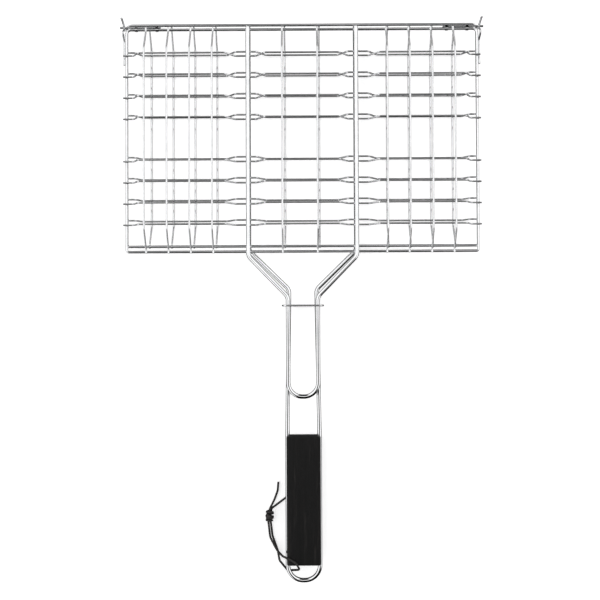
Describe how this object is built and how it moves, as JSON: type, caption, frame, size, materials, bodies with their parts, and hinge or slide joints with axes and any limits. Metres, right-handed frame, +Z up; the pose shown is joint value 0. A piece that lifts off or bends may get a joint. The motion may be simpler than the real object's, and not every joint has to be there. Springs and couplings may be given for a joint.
{
  "type": "grill basket",
  "caption": "Hinged wire grill basket: two bulged wire grids that close on the food, a long wire handle with a flat wooden grip, a short upper handle, a sliding locking ring and a lace.",
  "frame": {"origin": "on the floor under the middle of the whole length, side to side in the middle, with the basket closed", "axes": "+X across the basket, +Y along the handle toward the hinge side, +Z up through the closed grids"},
  "size_m": [0.4078, 0.631, 0.032],
  "materials": {
    "heavy_wire": "bright drawn and plated wire",
    "grid_wire": "bright drawn and plated wire",
    "hinge_wire": "bright drawn and plated wire",
    "ring": "bright drawn and plated wire",
    "black_wood": "black stain, fine grain along the grip, slight sheen",
    "lace": "round black leather lace, matt"
  },
  "bodies": {
    "lower_grid": {"lower_frame": "heavy_wire", "lower_handle_wire": "heavy_wire", "rack_left": "hinge_wire", "rack_right": "hinge_wire", "grip": "black_wood", "lower_long_wire_1": "grid_wire", "lower_long_wire_2": "grid_wire", "lower_long_wire_3": "grid_wire", "lower_long_wire_4": "grid_wire", "lower_long_wire_5": "grid_wire", "lower_long_wire_6": "grid_wire", "lower_long_wire_7": "grid_wire", "lower_long_wire_8": "grid_wire", "lower_long_wire_9": "grid_wire", "lower_long_wire_10": "grid_wire", "lower_cross_wire_1": "grid_wire", "lower_cross_wire_2": "grid_wire", "lower_cross_wire_3": "grid_wire", "lower_cross_wire_4": "grid_wire", "lower_cross_wire_5": "grid_wire", "lower_cross_wire_6": "grid_wire", "lower_cross_wire_7": "grid_wire", "lower_cross_wire_8": "grid_wire", "lanyard_loop": "lace", "lanyard_tail_long": "lace", "lanyard_tail_short": "lace", "lanyard_knot": "lace"},
    "upper_grid": {"upper_frame": "heavy_wire", "upper_handle_wire": "heavy_wire", "hinge_rod_left": "hinge_wire", "hinge_rod_right": "hinge_wire", "rod_clips_left": "hinge_wire", "rod_clips_right": "hinge_wire", "upper_long_wire_1": "grid_wire", "upper_long_wire_2": "grid_wire", "upper_long_wire_3": "grid_wire", "upper_long_wire_4": "grid_wire", "upper_long_wire_5": "grid_wire", "upper_long_wire_6": "grid_wire", "upper_long_wire_7": "grid_wire", "upper_long_wire_8": "grid_wire", "upper_long_wire_9": "grid_wire", "upper_long_wire_10": "grid_wire", "upper_cross_wire_1": "grid_wire", "upper_cross_wire_2": "grid_wire", "upper_cross_wire_3": "grid_wire", "upper_cross_wire_4": "grid_wire", "upper_cross_wire_5": "grid_wire", "upper_cross_wire_6": "grid_wire", "upper_cross_wire_7": "grid_wire", "upper_cross_wire_8": "grid_wire"},
    "locking_ring": {"locking_ring": "ring"}
  },
  "joints": [
    {"name": "upper_grid_hinge", "type": "hinge", "parent": "lower_grid", "child": "upper_grid", "pos_m": [0, 0.30734, 0.01766], "axis": [-1, 0, 0], "range_deg": [0, 120]},
    {"name": "ring_slide", "type": "slide", "parent": "lower_grid", "child": "locking_ring", "axis": [0, -1, 0], "range_m": [0, 0.12]}
  ]
}
